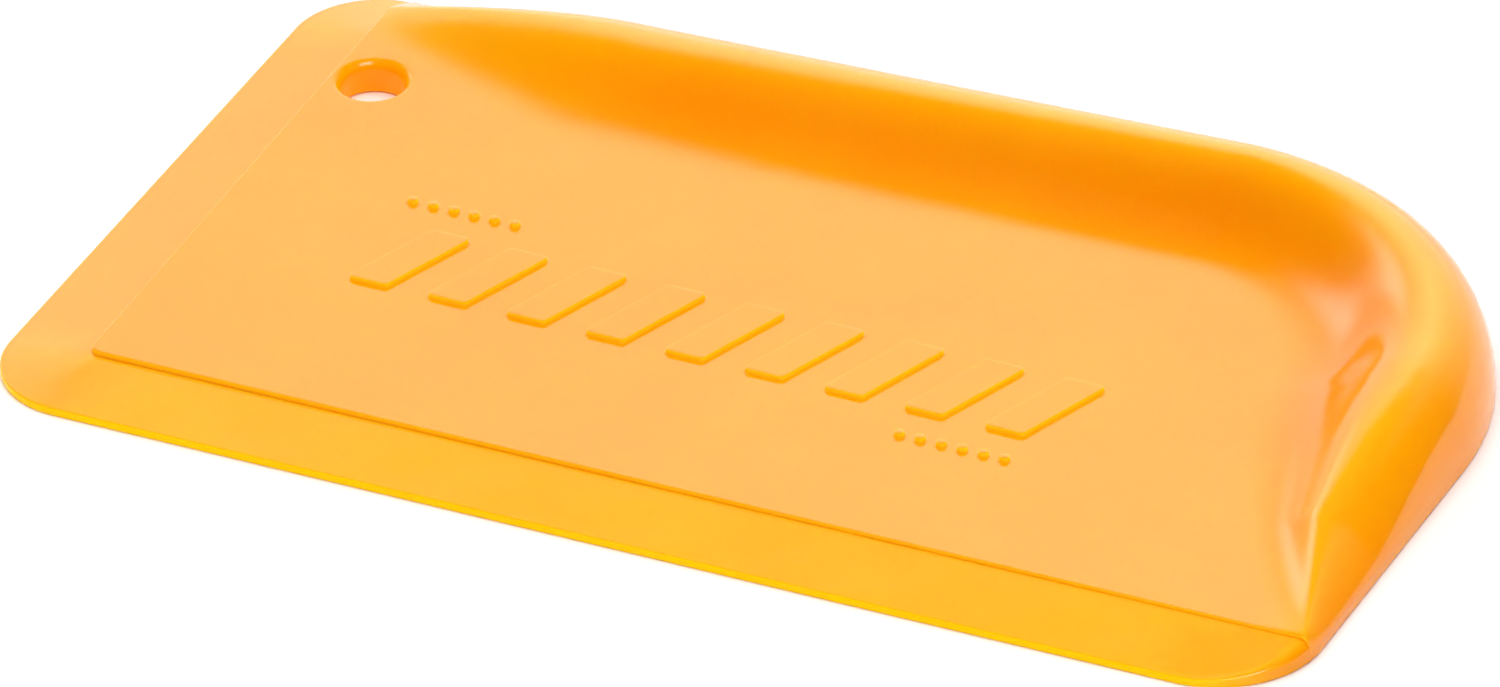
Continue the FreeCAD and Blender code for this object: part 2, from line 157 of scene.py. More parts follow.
def mix(a, b, share):
    return a + (b - a) * share


def panel_top(y):
    return mix(PANEL_FRONT, PANEL_BACK, (y - LONG_LIP) / (WIDTH - LONG_LIP))


# --- the lip's top face

def outline_distance(x, y):
    """Distance inward from the left and front edges, following their rounded corners."""
    if x < FRONT_LEFT_RADIUS and y < FRONT_LEFT_RADIUS:
        return FRONT_LEFT_RADIUS - math.hypot(FRONT_LEFT_RADIUS - x, FRONT_LEFT_RADIUS - y)
    if x < 2 * SHORT_LIP and y > WIDTH / 2:
        r = BACK_LEFT_RADIUS
        if y > WIDTH - r and x < r:
            return r - math.hypot(r - x, y - (WIDTH - r))
        return min(x, WIDTH - y)
    return min(x, y)


def lip_top(x, y):
    root = mix(*LIP_ROOT, x / LENGTH)
    return mix(LIP_EDGE, root, min(max(outline_distance(x, y), 0.0) / LONG_LIP, 1.0))


def lip_end(inward):
    """The rounded lip's height where it meets the grip's front end."""
    drop = LIP_ROOT[1] - SIDE_EDGE
    across = min(max(1.0 - inward / SIDE_ROUNDING, 0.0), 1.0)
    return LIP_ROOT[1] - drop * (1.0 - math.sqrt(1.0 - across ** 2))


# --- the grip's surface, by distance along its outline and inward from it

def grip_outline(u):
    """Point and inward direction at a distance along the grip's outline."""
    if u <= BACK_RUN:
        return (SHORT_LIP + u, WIDTH), (0.0, -1.0)
    if u <= BACK_RUN + CORNER_RUN:
        a = (u - BACK_RUN) / GRIP_RADIUS
        centre = (LENGTH - GRIP_RADIUS, WIDTH - GRIP_RADIUS)
        out = (math.sin(a), math.cos(a))
        return (centre[0] + GRIP_RADIUS * out[0], centre[1] + GRIP_RADIUS * out[1]), (-out[0], -out[1])
    y = WIDTH - GRIP_RADIUS - (u - BACK_RUN - CORNER_RUN)
    below = max(FRONT_RIGHT_RADIUS - y, 0.0)
    back_in = FRONT_RIGHT_RADIUS - math.sqrt(FRONT_RIGHT_RADIUS ** 2 - below ** 2)
    return (LENGTH - back_in, y), (-1.0, 0.0)


def grip_sizes(u):
    start = smooth(u / LEFT_RUN_UP)
    finish = level_off((GRIP_RUN - u) / FRONT_RUN_UP)
    run_in = min((GRIP_RUN - u) / CREST_RUN_OUT, 1.0)
    rise = min(max((u - LEFT_RUN_UP) / (BACK_RUN - LEFT_RUN_UP), 0.0), 1.0)
    bend = min(max((u - BACK_RUN) / CORNER_RUN, 0.0), 1.0)
    narrow = min(max((u / BACK_RUN - FULL_WIDTH_RUN) / (1.0 - FULL_WIDTH_RUN), 0.0), 1.0)
    height = mix(mix(HEIGHT_BACK, HEIGHT_CORNER, rise), HEIGHT_RIGHT, bend)
    width = mix(mix(GRIP_WIDTH[1], GRIP_WIDTH[2], narrow), GRIP_WIDTH[3], bend)
    height = mix(HEIGHT_FRONT, mix(HEIGHT_LEFT, height, ease_out(u / LEFT_RUN_UP)), finish)
    width = mix(GRIP_WIDTH[4], mix(GRIP_WIDTH[0], width, start), finish)
    crest = mix(CREST_INSET[1], CREST_INSET[0], run_in)
    fullness = mix(FULLNESS[2], mix(FULLNESS[0], FULLNESS[1], start), finish)
    edge = mix(FOOT_EDGE[2], mix(FOOT_EDGE[0], FOOT_EDGE[1], start), finish)
    flatness = (mix(*CREST_FLATNESS, 1.0 - finish), mix(*FOOT_FLATNESS, 1.0 - finish))
    return height, width, crest, edge, fullness, flatness


def bezier(poles, count):
    """Points along a cubic curve, without its first point."""
    t = np.arange(1, count + 1)[:, None] / count
    a, b, c, d = (np.array(p, float) for p in poles)
    return (1 - t) ** 3 * a + 3 * (1 - t) ** 2 * t * b + 3 * (1 - t) * t ** 2 * c + t ** 3 * d


def grip_curve(outside, edge, crest, height, inner, end, fullness, flatness, counts):
    """A section's outer shoulder and inner slope, from the top of its foot to its inner end."""
    reach, rise, fall = (crest - outside) * fullness, (height - edge) * fullness, inner - crest
    start, peak, foot = (outside, edge), (crest, height), (inner, end)
    shoulder = bezier([start, (outside, edge + rise), (crest - reach, height), peak], counts[0])
    slope = bezier(
        [peak, (crest + flatness[0] * fall, height), (inner - flatness[1] * fall, end), foot], counts[1]
    )
    return np.vstack([[start], shoulder, slope])


def grip_section(u):
    """Points (inward, up) of the section at u, from the top of its upright foot inward."""
    height, width, crest, edge, fullness, flatness = grip_sizes(u)
    point, inward = grip_outline(u)
    end = panel_top(point[1] + inward[1] * width)
    counts = (OUTER_POINTS, INNER_POINTS)
    return grip_curve(0.0, edge, crest, height, width, end, fullness, flatness, counts)


def hollow_section(u):
    """Points (inward, up) of the hollow's section at u: from the base up, over and back to it."""
    height, width, crest, edge, fullness, flatness = grip_sizes(u)
    shoulder = mix(edge, height, HOLLOW_SHOULDER) - WALL
    curve = grip_curve(WALL, shoulder, crest + HOLLOW_CREST, height - WALL, width - WALL,
                       HOLLOW_LOW, fullness, flatness, HOLLOW_DETAIL)
    curve = np.vstack([[(WALL, HOLLOW_LOW)], curve])
    above = np.nonzero(curve[:, 1] > 0)[0]
    first, last = above[0], above[-1]
    ends = []
    for under, over in ((first - 1, first), (last + 1, last)):
        share = -curve[under, 1] / (curve[over, 1] - curve[under, 1])
        ends.append(mix(curve[under], curve[over], share))
    line = np.vstack([[ends[0]], curve[first:last + 1], [ends[1]]])
    run = np.concatenate([[0], np.cumsum(np.hypot(*np.diff(line, axis=0).T))])
    steps = np.linspace(0, run[-1], HOLLOW_POINTS)
    return np.column_stack([np.interp(steps, run, line[:, 0]), np.interp(steps, run, line[:, 1])])


def place(u, inward, up):
    point, way = grip_outline(u)
    return (point[0] + way[0] * inward, point[1] + way[1] * inward, up)


# --- building the mesh

verts = []
faces = []
painted_light_tone = []               # per vertex: the painted light and shade tone, 1 for the painted glow at the lip's edge, 0 for the painted shade where the grip is deepest
gloss_vs_glow = []                  # per vertex: 1 on open faces, full gloss; 0 on small upright walls, less gloss and a painted glow

# tones for the colour ramp: painted light makes lip, crest and walls yellower, painted shade makes the
# grip's foot and the hole's wall deeper orange
PANEL_TONE = 0.4
LIP_TONE = 0.75
CREST_TONE = 0.68
FOOT_TONE = 0.1
WALL_TONE = 0.85            # small upright walls, painted yellower for a glow
HOLE_TONE = 0.36
HOLE_GLOSS_VS_GLOW = 0.3


def add(points, light_tone=PANEL_TONE, gloss_against_glow=1.0):
    """Add vertices and return their numbers; the painted light tone and the share of gloss against
    painted glow are one value or one for each.
    """
    start = len(verts)
    verts.extend(tuple(map(float, p)) for p in points)
    painted_light_tone.extend(np.broadcast_to(light_tone, len(verts) - start))
    gloss_vs_glow.extend(np.broadcast_to(gloss_against_glow, len(verts) - start))
    return list(range(start, len(verts)))


def skin(rows):
    """Quads between rows of equally many vertices."""
    for near, far in zip(rows, rows[1:]):
        for i in range(len(near) - 1):
            faces.append((near[i], near[i + 1], far[i + 1], far[i]))


def inside(points, loop):
    """Which of the points lie inside a closed loop, in plan."""
    result = np.zeros(len(points), bool)
    for a, b in zip(loop, np.roll(loop, -1, axis=0)):
        crosses = (a[1] > points[:, 1]) != (b[1] > points[:, 1])
        with np.errstate(divide="ignore", invalid="ignore"):
            at = (b[0] - a[0]) * (points[:, 1] - a[1]) / (b[1] - a[1]) + a[0]
        result ^= crosses & (points[:, 0] < at)
    return result


def fill(outer, holes=(), inner_points=()):
    """Triangles that fill a loop of vertices in plan, round any holes."""
    loops = [list(outer)] + [list(h) for h in holes]
    members = [v for loop in loops for v in loop] + list(inner_points)
    plan = [Vector(verts[v][:2]) for v in members]
    edges = []
    start = 0
    for loop in loops:
        edges += [(start + i, start + (i + 1) % len(loop)) for i in range(len(loop))]
        start += len(loop)
    points, _, triangles, origins, _, _ = delaunay_2d_cdt(plan, edges, [], 0, 1e-5)
    centres = np.array([np.mean([points[i][:] for i in t], axis=0) for t in triangles])
    keep = inside(centres, np.array([verts[v][:2] for v in loops[0]]))
    for hole in loops[1:]:
        keep &= ~inside(centres, np.array([verts[v][:2] for v in hole]))
    for triangle, kept in zip(triangles, keep):
        if kept:
            faces.append(tuple(members[origins[i][0]] for i in triangle))


def spread(first, last, step):
    """Evenly spaced numbers from first to last, no further apart than step."""
    return np.linspace(first, last, max(int(math.ceil(abs(last - first) / step)), 1) + 1)


def arc(centre, radius, first, last):
    return [
        (centre[0] + radius * math.cos(a), centre[1] + radius * math.sin(a), math.cos(a), math.sin(a))
        for a in spread(first, last, ARC_STEP)
    ]


# rows round the foot of every edge: the lower arris, then straight up
def foot_rows(place_at, top):
    r = EDGE_ROUNDING
    cut = ARRIS_CUT * r
    return [place_at(r, 0.0), place_at(cut, cut), place_at(0.0, r), place_at(0.0, top)]


# the step between lip and panel: it runs from the grip's front end along the front and up the left
def step_rounding(height):
    return min(ARRIS, STEP_CUT * max(height, 0.0))


def front_end_u(inset):
    """Where the grip is cut off so that its end stands inset behind the front step."""
    return GRIP_RUN - inset


grip_rows = []
last_u = front_end_u(0.0)
inner_us = spread(0.0, last_u, GRIP_STEP)
front_section = grip_section(last_u)
left_section = grip_section(0.0)
for k, u in enumerate(inner_us):
    section = grip_section(u)
    row_u = np.full(len(section), u)
    if k == 0:
        row_u = np.array([
            step_rounding(z - lip_top(SHORT_LIP, WIDTH - s)) for s, z in left_section
        ])
    if k == len(inner_us) - 1:
        row_u = np.array([front_end_u(step_rounding(z - lip_end(s))) for s, z in front_section])
    foot_u = u if k else row_u[0]
    points = foot_rows(lambda s, z: place(foot_u, s, z), section[0][1])[:3]
    for own_u, (s, z) in zip(row_u, section):
        own = grip_section(own_u)
        z = np.interp(s, own[:, 0], own[:, 1]) if 0 < s < own[-1, 0] and own_u != u else z
        points.append(place(own_u, s, z))
    inner = np.array([0.0] * 3 + [s for s, _ in section])
    # painted light and shade along the section: yellower at the crest, painted shade darkest midway
    # down the inner slope and deepening over the outer shoulder to the foot
    crest = grip_sizes(u)[2]
    down = np.clip((inner - crest) / (inner[-1] - crest), 0, 1)
    outward = np.clip((crest - inner) / crest, 0, 1)
    depth = (4 * down * (1 - down)) ** 1.5 * smooth(min(u, GRIP_RUN - u) / FRONT_RUN_UP)
    tone = mix(CREST_TONE, PANEL_TONE, down) * (1 - depth)
    tones = mix(tone, FOOT_TONE, outward)
    tones[0] = PANEL_TONE
    grip_rows.append(add(points, tones))
skin(grip_rows)

# lip's edge rows, from the grip's front end round to its left end
start_angle = -math.asin((FRONT_RIGHT_RADIUS - LONG_LIP) / FRONT_RIGHT_RADIUS)
front_right_centre = (LENGTH - FRONT_RIGHT_RADIUS, FRONT_RIGHT_RADIUS)
front_left_centre = (FRONT_LEFT_RADIUS, FRONT_LEFT_RADIUS)
back_left_centre = (BACK_LEFT_RADIUS, WIDTH - BACK_LEFT_RADIUS)
lip_line = arc(front_right_centre, FRONT_RIGHT_RADIUS, start_angle, -math.pi / 2)
for x in spread(LENGTH - FRONT_RIGHT_RADIUS, FRONT_LEFT_RADIUS, LINE_STEP)[1:-1]:
    lip_line.append((x, 0.0, 0.0, -1.0))
lip_line += arc(front_left_centre, FRONT_LEFT_RADIUS, -math.pi / 2, -math.pi)
for y in spread(FRONT_LEFT_RADIUS, WIDTH - BACK_LEFT_RADIUS, LINE_STEP)[1:-1]:
    lip_line.append((0.0, y, -1.0, 0.0))
lip_line += arc(back_left_centre, BACK_LEFT_RADIUS, math.pi, math.pi / 2)
lip_line.append((SHORT_LIP, WIDTH, 0.0, 1.0))

# where it meets the grip's front end the lip's edge faces straight out to the side
lip_line[0] = (*lip_line[0][:2], 1.0, 0.0)
lip_rows = []
for x, y, out_x, out_y in lip_line:
    place_at = lambda s, z: (x - out_x * s, y - out_y * s, z)
    side = smooth(math.atan2(out_x, -out_y) / (math.pi / 2)) if x > LENGTH / 2 else 0.0
    r = mix(EDGE_ROUNDING, SIDE_ROUNDING, side)
    top = lip_top(x - out_x * r, y - out_y * r)
    down = mix(EDGE_ROUNDING, top - SIDE_EDGE, side)
    rows = foot_rows(place_at, top - down)
    for a in (22.5, 45, 67.5, 90):
        turn = math.radians(a)
        rows.append(place_at(r * (1 - math.cos(turn)), top - down * (1 - math.sin(turn))))
    # painted light in the lip's tone: yellower towards the front right, brightest with a painted glow
    # on its upright edge, and painted shade where that edge turns into the grip's front end
    tone = mix(PANEL_TONE, LIP_TONE, smooth((x - y + WIDTH / 4) / (WIDTH / 2)))
    edge_tone = mix(1.0, FOOT_TONE, side)
    tones = [PANEL_TONE] + [edge_tone] * 4 + [mix(edge_tone, tone, share) for share in (0.3, 0.7, 1.0)]
    lip_rows.append(add(rows, tones, [1.0] + [side] * 4 + [1.0] * 3))
skin(lip_rows)

# step: columns from the panel's surface over the arris and down to the lip
columns = []
front_top = grip_rows[-1][3:]
for v, (s, z) in zip(front_top, front_section):
    columns.append((v, (verts[v][0], LONG_LIP), (0.0, -1.0)))
grip_inner_x = verts[grip_rows[-1][-1]][0]
corner = (SHORT_LIP + PANEL_CORNER_RADIUS, LONG_LIP + PANEL_CORNER_RADIUS)
for x in spread(grip_inner_x, corner[0], LINE_STEP)[1:-1]:
    columns.append((None, (x, LONG_LIP), (0.0, -1.0)))
for x, y, out_x, out_y in arc(corner, PANEL_CORNER_RADIUS, -math.pi / 2, -math.pi)[::4]:
    columns.append((None, (x, y), (out_x, out_y)))
left_inner_y = verts[grip_rows[0][-1]][1]
for y in spread(corner[1], left_inner_y, LINE_STEP)[1:-1]:
    columns.append((None, (SHORT_LIP, y), (-1.0, 0.0)))
for v in reversed(grip_rows[0][3:]):
    columns.append((v, (SHORT_LIP, verts[v][1]), (-1.0, 0.0)))

end_ring = lip_rows[0][3:]  # the lip's rounding where it meets the grip's front end
end_xs = np.array([verts[i][0] for i in end_ring])
step_rows = []
for v, (x, y), (out_x, out_y) in columns:
    bottom = lip_top(x, y)
    shared = None
    if v is not None and y == LONG_LIP:
        bottom = lip_end(end_xs[0] - x)
        if x > end_xs[-1]:
            shared = end_ring[int(np.argmin(abs(end_xs - x)))]
    r = mix(ARRIS, FRONT_ARRIS, -out_y)
    if v is None:
        v = add([(x - out_x * r, y - out_y * r, panel_top(y - out_y * r))])[0]
        top = verts[v][2]
    else:
        top = verts[v][2]
        r = step_rounding(top - bottom)
    rows = [v]
    # the step's rounding down to its upright wall: painted yellower, with less gloss and a painted glow
    # at the wall
    for a in (30, 60, 90):
        turn = math.radians(a)
        back = r * (1 - math.sin(turn))
        rounding = (x - out_x * back, y - out_y * back, top - r * (1 - math.cos(turn)))
        rows += add([rounding], mix(WALL_TONE, PANEL_TONE, math.cos(turn)), math.cos(turn))
    if shared is None:
        shared = add([(x, y, bottom)], mix(PANEL_TONE, LIP_TONE, max(-out_y, 0.0)))[0]
    rows.append(shared)
    step_rows.append(rows)
skin(step_rows)

lip_boundary = [rows[-1] for rows in lip_rows]
front_limit = verts[lip_rows[0][-1]][0] - MERGE
left_limit = verts[lip_rows[-1][-1]][1] - MERGE
for rows in reversed(step_rows):
    x, y, _ = verts[rows[-1]]
    if x < front_limit and y < left_limit:
        lip_boundary.append(rows[-1])

# a few vertices inside the lip's corners keep its fill even there
seeds = []
for corner_centre, radius, turn in (
    (front_right_centre, FRONT_RIGHT_RADIUS, (-0.35, -math.pi / 2)),
    (front_left_centre, FRONT_LEFT_RADIUS, (-math.pi / 2, -math.pi)),
    (back_left_centre, BACK_LEFT_RADIUS, (math.pi, math.pi / 2)),
):
    for depth in SEED_DEPTHS:
        for x, y, _, _ in arc(corner_centre, radius - depth, *turn):
            if y < LONG_LIP - SEED_MARGIN or x < SHORT_LIP - SEED_MARGIN:
                seeds.append((x, y, lip_top(x, y)))
fill(lip_boundary, inner_points=add(seeds, mix(PANEL_TONE, LIP_TONE, 0.5)))


# --- relief and hole in the panel

def rounded(corners, radius, grow):
    """A convex loop with rounded corners, grown outward, in plan."""
    loop = []
    corners = [np.array(c, float) for c in corners]
    for before, here, after in zip(corners[-1:] + corners[:-1], corners, corners[1:] + corners[:1]):
        into, away = (here - before), (after - here)
        into, away = into / np.hypot(*into), away / np.hypot(*away)
        half = math.acos(max(-1.0, min(1.0, float(into @ away)))) / 2
        middle = away - into
        middle = middle / np.hypot(*middle)
        centre = here + middle * radius / math.cos(half)
        first = math.atan2(-into[0], into[1])
        for k in range(BAR_CORNER_POINTS):
            a = first + 2 * half * k / (BAR_CORNER_POINTS - 1)
            loop.append(centre + (radius + grow) * np.array([math.cos(a), math.sin(a)]))
    return loop


def raised(loop_at, height, rows):
    """A raised pad: rows of (outward growth, share of the height, share of gloss against painted glow),
    and its flat top.
    """
    rings = []
    for grow, share, gloss_against_glow in rows:
        ring = [(x, y, panel_top(y) + height * share) for x, y in loop_at(grow)]
        rings.append(add(ring, mix(WALL_TONE, PANEL_TONE, gloss_against_glow), gloss_against_glow))
    for near, far in zip(rings, rings[1:]):
        skin([near + near[:1], far + far[:1]])
    fill(rings[-1])
    return rings[0]


# rows of a raised pad: the flat ring round it keeps the panel's shading even; low values in the last
# column make its walls yellower, with less gloss and a painted glow
PAD_ROWS = (
    (0.4, 0.0, 1.0),
    (0.16, 0.0, 1.0),
    (0.06, 0.12, 0.3),
    (0.02, 0.68, 0.0),
    (-0.04, 0.92, 0.4),
    (-0.16, 1.0, 1.0),
)
panel_holes = []
for k in range(BARS):
    x, y = BAR[0] + k * BAR_PITCH, BAR[1]
    top_x, top_y = x + BAR_SLANT, y + BAR_RISE
    bar = [(x, y), (x + BAR_WIDTH, y), (top_x + BAR_WIDTH, top_y), (top_x, top_y)]
    pad = raised(lambda grow: rounded(bar, BAR_CORNER_RADIUS, grow), RELIEF_HEIGHT, PAD_ROWS)
    panel_holes.append(pad)
row_end = BAR[0] + BAR_PITCH * (BARS - 1) + BAR_WIDTH
row_above = (BAR[0], BAR[1] + BAR_RISE + BAR_SLANT)
row_below = (row_end - BEAD_PITCH * (BEADS - 1), BAR[1] - BAR_SLANT)
for x0, y in (row_above, row_below):
    for k in range(BEADS):
        def bead(grow, x=x0 + k * BEAD_PITCH):
            turns = np.arange(BEAD_SIDES) * 2 * math.pi / BEAD_SIDES
            r = BEAD_RADIUS + grow
            return [(x + r * math.cos(a), y + r * math.sin(a)) for a in turns]
        panel_holes.append(raised(bead, RELIEF_HEIGHT, PAD_ROWS))

turns = np.arange(HOLE_SIDES) * 2 * math.pi / HOLE_SIDES
across, down = HOLE_ROUNDING
rings = []
# the hole's wall: a deeper orange for painted shade, with less gloss and a painted glow, blending back
# to the panel at both rims
for a in np.linspace(0, math.pi / 2, 7):
    grow, drop = across * (1 - math.sin(a)), down * (1 - math.cos(a))
    r = HOLE_RADIUS + grow
    ring = [(HOLE[0] + r * math.cos(a), HOLE[1] + r * math.sin(a)) for a in turns]
    openness = grow / across   # 1 at the outer rim, where the rounding is level with the panel
    tone, gloss_against_glow = mix(HOLE_TONE, PANEL_TONE, openness), mix(HOLE_GLOSS_VS_GLOW, 1.0, openness)
    rings.append(add([(x, y, panel_top(y) - drop) for x, y in ring], tone, gloss_against_glow))
for a in np.linspace(0, math.pi / 2, 4):
    r = HOLE_RADIUS + HOLE_LOWER_ROUNDING * (1 - math.cos(a))
    z = HOLE_LOWER_ROUNDING * (1 - math.sin(a))
    ring = [(HOLE[0] + r * math.cos(t), HOLE[1] + r * math.sin(t), z) for t in turns]
    flare = 1 - math.cos(a)
    rings.append(add(ring, mix(HOLE_TONE, PANEL_TONE, flare), mix(HOLE_GLOSS_VS_GLOW, 1.0, flare)))
for near, far in zip(rings, rings[1:]):
    skin([near + near[:1], far + far[:1]])
panel_holes.append(rings[0])

inner_end = len(front_section) - 1
panel_columns = step_rows[inner_end:len(step_rows) - len(left_section) + 1]
panel_boundary = [rows[0] for rows in panel_columns] + [row[-1] for row in grip_rows[1:-1]]
fill(panel_boundary, panel_holes)

# --- underside: the hollow under the grip, and the flat base round it
hollow_rows = []
for u in spread(HOLLOW_ENDS[0], GRIP_RUN - HOLLOW_ENDS[1], GRIP_STEP):
    hollow_rows.append(add([place(u, s, z) for s, z in hollow_section(u)]))
skin(hollow_rows)
faces.append(tuple(hollow_rows[0]))
faces.append(tuple(reversed(hollow_rows[-1])))
mouth = [row[0] for row in hollow_rows] + [row[-1] for row in reversed(hollow_rows)]
base = [row[0] for row in grip_rows] + [row[0] for row in lip_rows[1:-1]]
fill(base, [mouth, rings[-1]])

mesh = bpy.data.meshes.new("moulding")
offset = np.array([low.x, low.y, low.z])
mesh.from_pydata([tuple(np.array(v) * MM + offset) for v in verts], [], faces)
mesh.attributes.new("painted_light_tone", "FLOAT", "POINT").data.foreach_set("value", painted_light_tone)
mesh.attributes.new("gloss_vs_glow", "FLOAT", "POINT").data.foreach_set("value", gloss_vs_glow)
work = bmesh.new()
work.from_mesh(mesh)
bmesh.ops.remove_doubles(work, verts=work.verts, dist=MERGE * MM)
bmesh.ops.dissolve_degenerate(work, dist=0.002 * MM, edges=work.edges)
open_edges = [e for e in work.edges if len(e.link_faces) == 1]
bmesh.ops.holes_fill(work, edges=open_edges, sides=24)
remaining = [e for e in work.edges if len(e.link_faces) == 1]
bmesh.ops.edgeloop_fill(work, edges=remaining)
bare = [e for e in work.edges if not e.link_faces]
bmesh.ops.delete(work, geom=bare, context="EDGES")
bmesh.ops.recalc_face_normals(work, faces=work.faces)
loose = [v for v in work.verts if not v.link_faces]
bmesh.ops.delete(work, geom=loose, context="VERTS")
work.to_mesh(mesh)
work.free()
mesh.shade_smooth()
mesh.set_sharp_from_angle(angle=math.radians(42))
moulding = bpy.data.objects.new("scraper", mesh)
bpy.context.scene.collection.objects.link(moulding)
weighted = moulding.modifiers.new("even_shading", "WEIGHTED_NORMAL")
weighted.keep_sharp = True
weighted.weight = 70
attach(moulding, "root")
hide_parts("scraper_moulding")

# --- material: glossy, slightly translucent orange plastic
plastic = bpy.data.materials.new("orange_plastic")
plastic.use_nodes = True
nodes, links = plastic.node_tree.nodes, plastic.node_tree.links
shader = nodes["Principled BSDF"]


def attribute(name):
    node = nodes.new("ShaderNodeAttribute")
    node.attribute_name = name
    return node.outputs["Fac"]


def noise(scale, detail):
    """Noise over the part in its own metres; scale is in features per metre."""
    node = nodes.new("ShaderNodeTexNoise")
    node.inputs["Scale"].default_value = scale
    node.inputs["Detail"].default_value = detail
    links.new(place_on_part.outputs["Object"], node.inputs["Vector"])
    return node.outputs["Fac"]


def remap(source, low_in, high_in, low_out, high_out):
    node = nodes.new("ShaderNodeMapRange")
    for index, value in enumerate((low_in, high_in, low_out, high_out), start=1):
        node.inputs[index].default_value = value
    links.new(source, node.inputs[0])
    return node.outputs[0]


place_on_part = nodes.new("ShaderNodeTexCoord")

# the colour ramp over the painted light tone: yellower for painted light and glow, more orange for
# painted shade
TONES = (
    (0.0, (1.0, 0.285, 0.0, 1.0)),
    (PANEL_TONE, (1.0, 0.355, 0.0, 1.0)),
    (LIP_TONE, (1.0, 0.45, 0.006, 1.0)),
    (1.0, (1.0, 0.52, 0.0, 1.0)),
)
tint = nodes.new("ShaderNodeValToRGB")
ramp = tint.color_ramp.elements
for position, color in TONES[1:-1]:
    ramp.new(position).color = color
ramp[0].color = TONES[0][1]
ramp[-1].color = TONES[-1][1]
links.new(attribute("painted_light_tone"), tint.inputs[0])

# faint clouding of the colour, left from the moulding
cloud = nodes.new("ShaderNodeHueSaturation")
links.new(remap(noise(45.0, 3.0), 0.3, 0.7, 0.498, 0.502), cloud.inputs["Hue"])
links.new(remap(noise(110.0, 4.0), 0.3, 0.7, 0.97, 1.0), cloud.inputs["Value"])
links.new(tint.outputs[0], cloud.inputs["Color"])
links.new(cloud.outputs[0], shader.inputs["Base Color"])

# handled gloss: uneven roughness with fine, mostly lengthwise rubbing marks
stretch = nodes.new("ShaderNodeMapping")
stretch.inputs["Scale"].default_value = (120.0, 2600.0, 600.0)
links.new(place_on_part.outputs["Object"], stretch.inputs["Vector"])
rubbing = nodes.new("ShaderNodeTexNoise")
rubbing.inputs["Scale"].default_value = 1.0
rubbing.inputs["Detail"].default_value = 2.0
links.new(stretch.outputs[0], rubbing.inputs["Vector"])
marks = remap(rubbing.outputs["Fac"], 0.62, 0.78, 0.0, 0.05)
smear = remap(noise(70.0, 5.0), 0.3, 0.7, 0.11, 0.16)
roughness = nodes.new("ShaderNodeMath")
roughness.operation = "ADD"
links.new(marks, roughness.inputs[0])
links.new(smear, roughness.inputs[1])
links.new(roughness.outputs[0], shader.inputs["Roughness"])

# slight waviness of the moulded skin and a fine orange peel
waves = nodes.new("ShaderNodeBump")
waves.inputs["Distance"].default_value = 0.00018
waves.inputs["Strength"].default_value = 0.5
links.new(noise(90.0, 2.0), waves.inputs["Height"])
peel = nodes.new("ShaderNodeBump")
peel.inputs["Distance"].default_value = 0.00001
peel.inputs["Strength"].default_value = 0.5
links.new(noise(900.0, 2.0), peel.inputs["Height"])
links.new(waves.outputs[0], peel.inputs["Normal"])
links.new(peel.outputs[0], shader.inputs["Normal"])

# painted glow: small upright walls emit their own colour and have less specular gloss
gloss_vs_glow_value = attribute("gloss_vs_glow")
links.new(remap(gloss_vs_glow_value, 0.0, 1.0, 0.1, 0.5), shader.inputs["Specular IOR Level"])
links.new(remap(gloss_vs_glow_value, 0.0, 1.0, 0.35, 0.0), shader.inputs["Emission Strength"])
links.new(cloud.outputs[0], shader.inputs["Emission Color"])
shader.inputs["IOR"].default_value = 1.46
shader.inputs["Subsurface Weight"].default_value = 0.5
shader.inputs["Subsurface Radius"].default_value = (1.0, 0.5, 0.05)
shader.inputs["Subsurface Scale"].default_value = 0.0015
mesh.materials.append(plastic)

# --- floor, sky and lights
floor_mesh = bpy.data.meshes.new("floor")
size = 3.0
floor_corners = [(-size, -size, 0), (size, -size, 0), (size, size, 0), (-size, size, 0)]
floor_mesh.from_pydata(floor_corners, [], [(0, 1, 2, 3)])
floor = bpy.data.objects.new("floor", floor_mesh)
bpy.context.scene.collection.objects.link(floor)
floor.location.z = low.z
paper = bpy.data.materials.new("paper")
paper.use_nodes = True
paper_shader = paper.node_tree.nodes["Principled BSDF"]
paper_shader.inputs["Base Color"].default_value = (0.9, 0.9, 0.9, 1.0)
paper_shader.inputs["Roughness"].default_value = 0.9
floor_mesh.materials.append(paper)

world = bpy.data.worlds.new("studio")
world.use_nodes = True
bpy.context.scene.world = world
sky, wires = world.node_tree.nodes, world.node_tree.links
direction = sky.new("ShaderNodeTexCoord")
split = sky.new("ShaderNodeSeparateXYZ")
wires.new(direction.outputs["Generated"], split.inputs[0])


def band(source, values, manner="SMOOTHSTEP"):
    """A change from one value to another as source goes from one number to another."""
    node = sky.new("ShaderNodeMapRange")
    node.interpolation_type = manner
    for index, value in enumerate(values, start=1):
        node.inputs[index].default_value = value
    wires.new(source, node.inputs[0])
    return node.outputs[0]


def calculate(operation, first, second):
    node = sky.new("ShaderNodeMath")
    node.operation = operation
    for index, value in enumerate((first, second)):
        if isinstance(value, (int, float)):
            node.inputs[index].default_value = value
        else:
            wires.new(value, node.inputs[index])
    return node.outputs[0]


# a backdrop behind the part, brightest in its middle and fading to both sides and at its top
BACKDROP_AZIMUTH = math.radians(112)
BACKDROP_HALF_WIDTH = math.radians(66)
BACKDROP_STRENGTH = 2.05
FADE_START, FADE_END = 0.63, 0.81
ROOM_STRENGTH = 0.03
